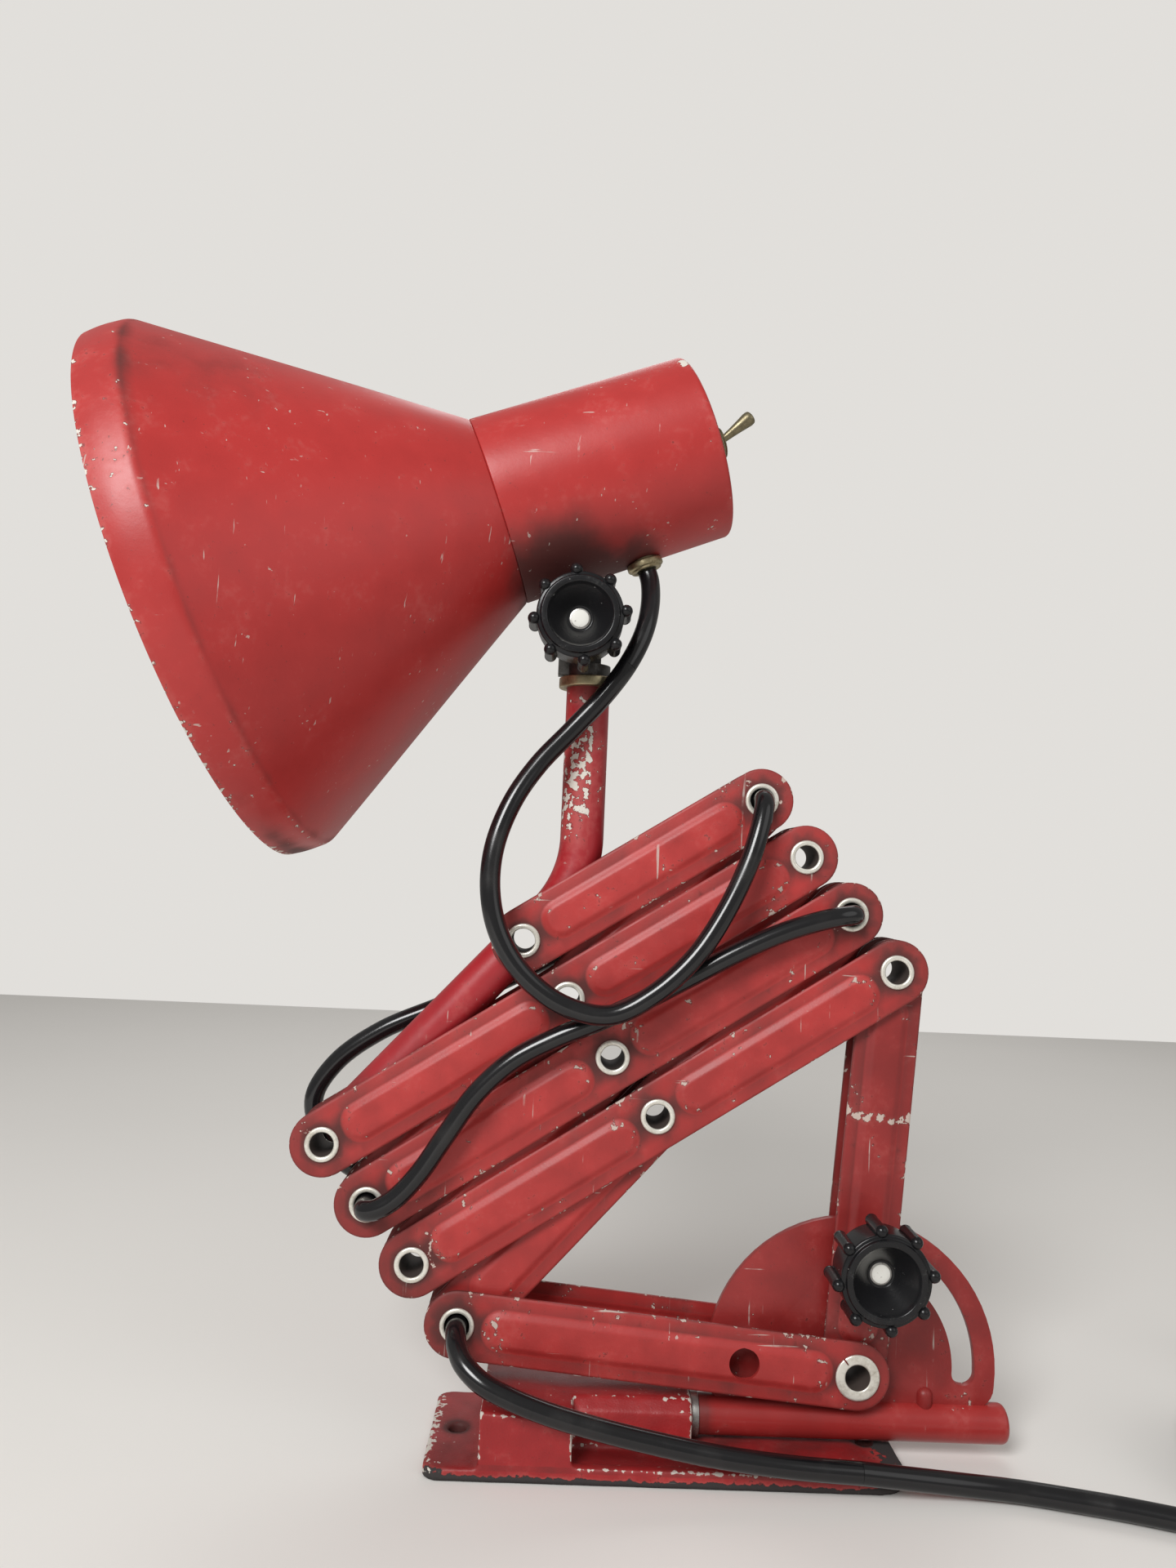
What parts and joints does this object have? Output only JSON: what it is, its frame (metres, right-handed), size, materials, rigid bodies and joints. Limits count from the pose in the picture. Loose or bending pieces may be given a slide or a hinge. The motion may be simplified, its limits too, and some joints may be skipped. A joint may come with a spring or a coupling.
{
  "type": "scissor-arm lamp",
  "caption": "Red scissor-arm lamp: a conical shade on a folding lattice that swivels and tilts on a cast screw-down bracket, with clamp knobs and a black cord.",
  "frame": {"origin": "centre of the bracket's flat mounting face", "axes": "+Z away from the mounting face, +X along the swivel rod, -Y towards the side of the lattice that carries the knobs"},
  "size_m": [0.5361, 0.2082, 0.4145],
  "materials": {
    "casting_paint": "worn red paint on a rough casting",
    "bar_paint": "worn satin red paint on pressed sheet",
    "shade_paint": "satin crimson paint, scratched at the lip",
    "tube_paint": "dark crimson paint with chips",
    "steel": "dull bare steel",
    "nickel": "aged nickel plating",
    "aged_brass": "aged brass",
    "bakelite": "worn black moulding",
    "white_ceramic": "glazed",
    "glass_white": "frosted",
    "cord_rubber": "semi-gloss black sheath",
    "plug_black": "satin moulding"
  },
  "bodies": {
    "bracket": {"bracket_casting": "casting_paint", "cord_tail": "cord_rubber", "mains_cord": "cord_rubber", "cord_coil": "cord_rubber", "plug_lead": "cord_rubber", "plug_body": "plug_black", "plug_pins": "steel"},
    "turret": {"swivel_rod": "bar_paint", "rod_collar": "steel", "quadrant_plate": "bar_paint"},
    "upright": {"upright_front": "bar_paint", "upright_rear": "bar_paint", "clamp_bolt": "steel", "clamp_hub": "steel", "clamp_washers": "steel"},
    "clamp_knob": {"clamp_knob": "bakelite"},
    "base_bars": {"base_bar_front": "bar_paint", "base_bar_rear": "bar_paint", "base_rivets": "nickel"},
    "outer_4": {"outer_bar_4_front": "bar_paint", "outer_bar_4_rear": "bar_paint", "rivets_4": "nickel"},
    "inner_4": {"inner_bar_4_front": "bar_paint", "inner_bar_4_rear": "bar_paint", "link_rivet": "nickel", "cord_rear_low": "cord_rubber"},
    "inner_3": {"inner_bar_3_front": "bar_paint", "inner_bar_3_rear": "bar_paint"},
    "outer_3": {"outer_bar_3_front": "bar_paint", "outer_bar_3_rear": "bar_paint", "rivets_3": "nickel", "cord_front_run": "cord_rubber"},
    "inner_2": {"inner_bar_2_front": "bar_paint", "inner_bar_2_rear": "bar_paint", "cord_rear_high": "cord_rubber"},
    "outer_2": {"outer_bar_2_front": "bar_paint", "outer_bar_2_rear": "bar_paint", "rivets_2": "nickel"},
    "lamp_arm": {"lamp_arm": "tube_paint", "arm_collar": "aged_brass"},
    "outer_1": {"outer_bar_1_front": "bar_paint", "outer_bar_1_rear": "bar_paint", "rivets_1": "nickel"},
    "neck": {"neck_stem": "steel"},
    "head": {"head_lug": "steel", "tilt_bolt": "steel", "tilt_hub": "steel", "housing": "shade_paint", "shade": "shade_paint", "cord_grommet": "aged_brass", "switch_body": "bakelite", "switch_bush": "aged_brass", "switch_nut": "aged_brass", "holder_bridge": "steel", "lampholder": "white_ceramic", "bulb_cap": "aged_brass", "bulb_glass": "glass_white", "cord_loop": "cord_rubber"},
    "tilt_knob": {"tilt_knob": "bakelite"},
    "switch_lever": {"switch_lever": "aged_brass"}
  },
  "joints": [
    {"name": "swivel", "type": "hinge", "parent": "bracket", "child": "turret", "pos_m": [0.07, 0, 0.012], "axis": [1, 0, 0], "range_deg": [-25, 25]},
    {"name": "arm_tilt", "type": "hinge", "parent": "turret", "child": "upright", "pos_m": [0.07, 0, 0.0315], "axis": [0, -1, 0], "range_deg": [-80, 0]},
    {"name": "clamp_turn", "type": "hinge", "parent": "upright", "child": "clamp_knob", "pos_m": [0.07333, 0, 0.07387], "axis": [0, -1, 0], "range_deg": [-180, 180]},
    {"name": "scissor_fold", "type": "hinge", "parent": "outer_4", "child": "inner_4", "pos_m": [-0.00675, 0, 0.12232], "axis": [0, -1, 0], "range_deg": [0, 75], "deforming": ["cord_tail", "cord_rear_low"]},
    {"name": "base_pivot", "type": "hinge", "parent": "upright", "child": "base_bars", "pos_m": [0.07, 0, 0.0315], "axis": [0, -1, 0], "range_deg": [-30, 0]},
    {"name": "row_4_pivot", "type": "hinge", "parent": "upright", "child": "outer_4", "pos_m": [0.08161, 0, 0.17904], "axis": [0, -1, 0], "range_deg": [-53, 0]},
    {"name": "pivot_left_3", "type": "hinge", "parent": "outer_4", "child": "inner_3", "pos_m": [-0.09511, 0, 0.06559], "axis": [0, -1, 0], "range_deg": [0, 75]},
    {"name": "pivot_right_3", "type": "hinge", "parent": "inner_4", "child": "outer_3", "pos_m": [0.06392, 0, 0.19998], "axis": [0, -1, 0], "range_deg": [-75, 0]},
    {"name": "pivot_left_2", "type": "hinge", "parent": "outer_3", "child": "inner_2", "pos_m": [-0.1128, 0, 0.08653], "axis": [0, -1, 0], "range_deg": [0, 75]},
    {"name": "pivot_right_2", "type": "hinge", "parent": "inner_3", "child": "outer_2", "pos_m": [0.04623, 0, 0.22092], "axis": [0, -1, 0], "range_deg": [-75, 0]},
    {"name": "pivot_left_1", "type": "hinge", "parent": "outer_2", "child": "lamp_arm", "pos_m": [-0.13049, 0, 0.10747], "axis": [0, -1, 0], "range_deg": [0, 75]},
    {"name": "pivot_middle_1", "type": "hinge", "parent": "lamp_arm", "child": "outer_1", "pos_m": [-0.05982, 0, 0.18513], "axis": [0, -1, 0], "range_deg": [-75, 0]},
    {"name": "head_swivel", "type": "hinge", "parent": "lamp_arm", "child": "neck", "pos_m": [-0.03932, 0, 0.28716], "axis": [0, 0, 1], "range_deg": [-120, 120]},
    {"name": "head_tilt", "type": "hinge", "parent": "neck", "child": "head", "pos_m": [-0.04382, 0, 0.30516], "axis": [0, -1, 0], "range_deg": [-75, 25], "deforming": ["cord_loop"]},
    {"name": "tilt_turn", "type": "hinge", "parent": "head", "child": "tilt_knob", "pos_m": [-0.04382, 0, 0.30516], "axis": [0, -1, 0], "range_deg": [-180, 180]},
    {"name": "switch_throw", "type": "hinge", "parent": "head", "child": "switch_lever", "pos_m": [0.00785, 0, 0.38455], "axis": [0, -1, 0], "range_deg": [-43, 0]}
  ],
  "couplings": [
    {"joint": "base_pivot", "follows": "scissor_fold", "ratio": -0.38905},
    {"joint": "row_4_pivot", "follows": "scissor_fold", "ratio": -0.69453},
    {"joint": "pivot_left_3", "follows": "scissor_fold", "ratio": 1},
    {"joint": "pivot_right_3", "follows": "scissor_fold", "ratio": -1},
    {"joint": "pivot_left_2", "follows": "scissor_fold", "ratio": 1},
    {"joint": "pivot_right_2", "follows": "scissor_fold", "ratio": -1},
    {"joint": "pivot_left_1", "follows": "scissor_fold", "ratio": 1},
    {"joint": "pivot_middle_1", "follows": "scissor_fold", "ratio": -1}
  ]
}
